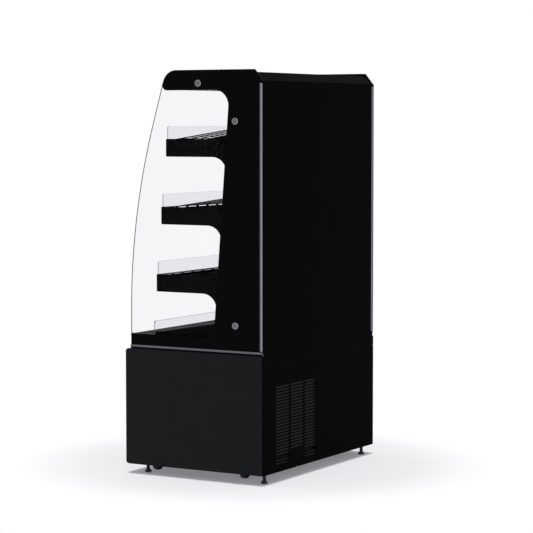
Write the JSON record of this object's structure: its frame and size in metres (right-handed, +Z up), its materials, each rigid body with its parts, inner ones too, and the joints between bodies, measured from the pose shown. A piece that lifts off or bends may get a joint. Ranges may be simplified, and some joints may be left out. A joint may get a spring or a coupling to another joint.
{
  "type": "open refrigerated display cabinet",
  "caption": "Tall open-front refrigerated cabinet with leaning curved side glasses, sloping slotted shelves with clear risers, black print borders and a grille in the rear base panel.",
  "frame": {"origin": "on the floor under the middle of the overall box", "axes": "+Z up, -Y out of the open front, +X towards the side glass that is nearer the camera in the picture"},
  "size_m": [0.8898, 0.604, 1.51],
  "materials": {
    "frame_paint": "satin dark powder coat",
    "zinc_steel": "galvanised sheet with a soft spangle",
    "charcoal_panel": "fine texture charcoal powder coat",
    "black_panel": "satin black coating",
    "black_screw": "black zinc",
    "black_rubber": "matt moulded rubber",
    "white_plastic": "matt white plastic",
    "light_lens": "opal diffuser",
    "clear_glass": "clear toughened glass with polished edges",
    "black_print": "glossy black ceramic print",
    "trim_aluminium": "satin anodised extrusion",
    "standoff_steel": "turned stainless steel",
    "black_shelf": "satin black powder coat",
    "clear_riser": "clear polished acrylic",
    "fin_aluminium": "thin bare fins",
    "black_plastic": "moulded black plastic",
    "copper_pipe": "bare copper tube",
    "compressor_paint": "gloss black enamel",
    "foot_plastic": "moulded dark plastic",
    "castor_tyre": "grey rubber tread"
  },
  "bodies": {
    "cabinet": {"base_frame": "frame_paint", "castor_plates": "zinc_steel", "base_side_panel_right": "charcoal_panel", "base_side_panel_left": "charcoal_panel", "base_front_panel": "charcoal_panel", "rear_lower_panel": "black_panel", "rear_upper_panel": "black_panel", "panel_screws": "black_screw", "cable_grommet": "black_rubber", "tub": "charcoal_panel", "back_wall": "charcoal_panel", "duct_panel": "black_panel", "canopy": "black_panel", "air_honeycomb": "white_plastic", "canopy_light": "light_lens", "side_glass_right": "clear_glass", "side_glass_left": "clear_glass", "glass_border_right": "black_print", "glass_border_left": "black_print", "sill_trim_right": "trim_aluminium", "sill_trim_left": "trim_aluminium", "post_trim_right": "trim_aluminium", "post_trim_left": "trim_aluminium", "glass_standoffs": "standoff_steel", "shelf_uprights": "black_panel", "shelf_top_brackets": "black_shelf", "shelf_top_deck": "black_shelf", "shelf_top_riser": "clear_riser", "shelf_middle_brackets": "black_shelf", "shelf_middle_deck": "black_shelf", "shelf_middle_riser": "clear_riser", "shelf_lower_brackets": "black_shelf", "shelf_lower_deck": "black_shelf", "shelf_lower_riser": "clear_riser", "shelf_screws": "black_screw", "bottom_deck": "black_shelf", "bottom_riser": "clear_riser", "return_grille": "black_shelf", "evaporator_coil": "fin_aluminium", "evaporator_fan_plate": "zinc_steel", "refrigerant_pipes": "copper_pipe", "compressor": "compressor_paint", "condenser_coil": "fin_aluminium", "condenser_shroud": "zinc_steel", "condensate_pan": "zinc_steel", "controller": "black_plastic"},
    "foot_front_right": {"foot_front_right": "foot_plastic"},
    "foot_front_left": {"foot_front_left": "foot_plastic"},
    "foot_rear_right": {"foot_rear_right": "foot_plastic"},
    "foot_rear_left": {"foot_rear_left": "foot_plastic"},
    "castor_front_right": {"castor_fork_front_right": "zinc_steel"},
    "wheel_front_right": {"castor_wheel_front_right": "castor_tyre"},
    "castor_front_left": {"castor_fork_front_left": "zinc_steel"},
    "wheel_front_left": {"castor_wheel_front_left": "castor_tyre"},
    "castor_rear_right": {"castor_fork_rear_right": "zinc_steel"},
    "wheel_rear_right": {"castor_wheel_rear_right": "castor_tyre"},
    "castor_rear_left": {"castor_fork_rear_left": "zinc_steel"},
    "wheel_rear_left": {"castor_wheel_rear_left": "castor_tyre"},
    "condenser_fan": {"condenser_fan": "black_plastic"},
    "evaporator_fan": {"evaporator_fan": "black_plastic"}
  },
  "joints": [
    {"name": "foot_front_right_height", "type": "slide", "parent": "cabinet", "child": "foot_front_right", "axis": [0, 0, 1], "range_m": [-0.012, 0.008]},
    {"name": "foot_front_left_height", "type": "slide", "parent": "cabinet", "child": "foot_front_left", "axis": [0, 0, 1], "range_m": [-0.012, 0.008]},
    {"name": "foot_rear_right_height", "type": "slide", "parent": "cabinet", "child": "foot_rear_right", "axis": [0, 0, 1], "range_m": [-0.012, 0.008]},
    {"name": "foot_rear_left_height", "type": "slide", "parent": "cabinet", "child": "foot_rear_left", "axis": [0, 0, 1], "range_m": [-0.012, 0.008]},
    {"name": "castor_front_right_swivel", "type": "hinge", "parent": "cabinet", "child": "castor_front_right", "pos_m": [0.322, -0.217, 0.065], "axis": [0, 0, 1], "continuous": true},
    {"name": "wheel_front_right_roll", "type": "hinge", "parent": "castor_front_right", "child": "wheel_front_right", "pos_m": [0.342, -0.217, 0.029], "axis": [0, 1, 0], "continuous": true},
    {"name": "castor_front_left_swivel", "type": "hinge", "parent": "cabinet", "child": "castor_front_left", "pos_m": [-0.322, -0.217, 0.065], "axis": [0, 0, 1], "continuous": true},
    {"name": "wheel_front_left_roll", "type": "hinge", "parent": "castor_front_left", "child": "wheel_front_left", "pos_m": [-0.342, -0.217, 0.029], "axis": [0, 1, 0], "continuous": true},
    {"name": "castor_rear_right_swivel", "type": "hinge", "parent": "cabinet", "child": "castor_rear_right", "pos_m": [0.322, 0.166, 0.065], "axis": [0, 0, 1], "continuous": true},
    {"name": "wheel_rear_right_roll", "type": "hinge", "parent": "castor_rear_right", "child": "wheel_rear_right", "pos_m": [0.342, 0.166, 0.029], "axis": [0, 1, 0], "continuous": true},
    {"name": "castor_rear_left_swivel", "type": "hinge", "parent": "cabinet", "child": "castor_rear_left", "pos_m": [-0.322, 0.166, 0.065], "axis": [0, 0, 1], "continuous": true},
    {"name": "wheel_rear_left_roll", "type": "hinge", "parent": "castor_rear_left", "child": "wheel_rear_left", "pos_m": [-0.342, 0.166, 0.029], "axis": [0, 1, 0], "continuous": true},
    {"name": "condenser_fan_spin", "type": "hinge", "parent": "cabinet", "child": "condenser_fan", "pos_m": [0.20125, 0.1829, 0.2108], "axis": [0, 1, 0], "continuous": true},
    {"name": "evaporator_fan_spin", "type": "hinge", "parent": "cabinet", "child": "evaporator_fan", "pos_m": [0, 0.081, 0.4733], "axis": [0, 1, 0], "continuous": true}
  ]
}
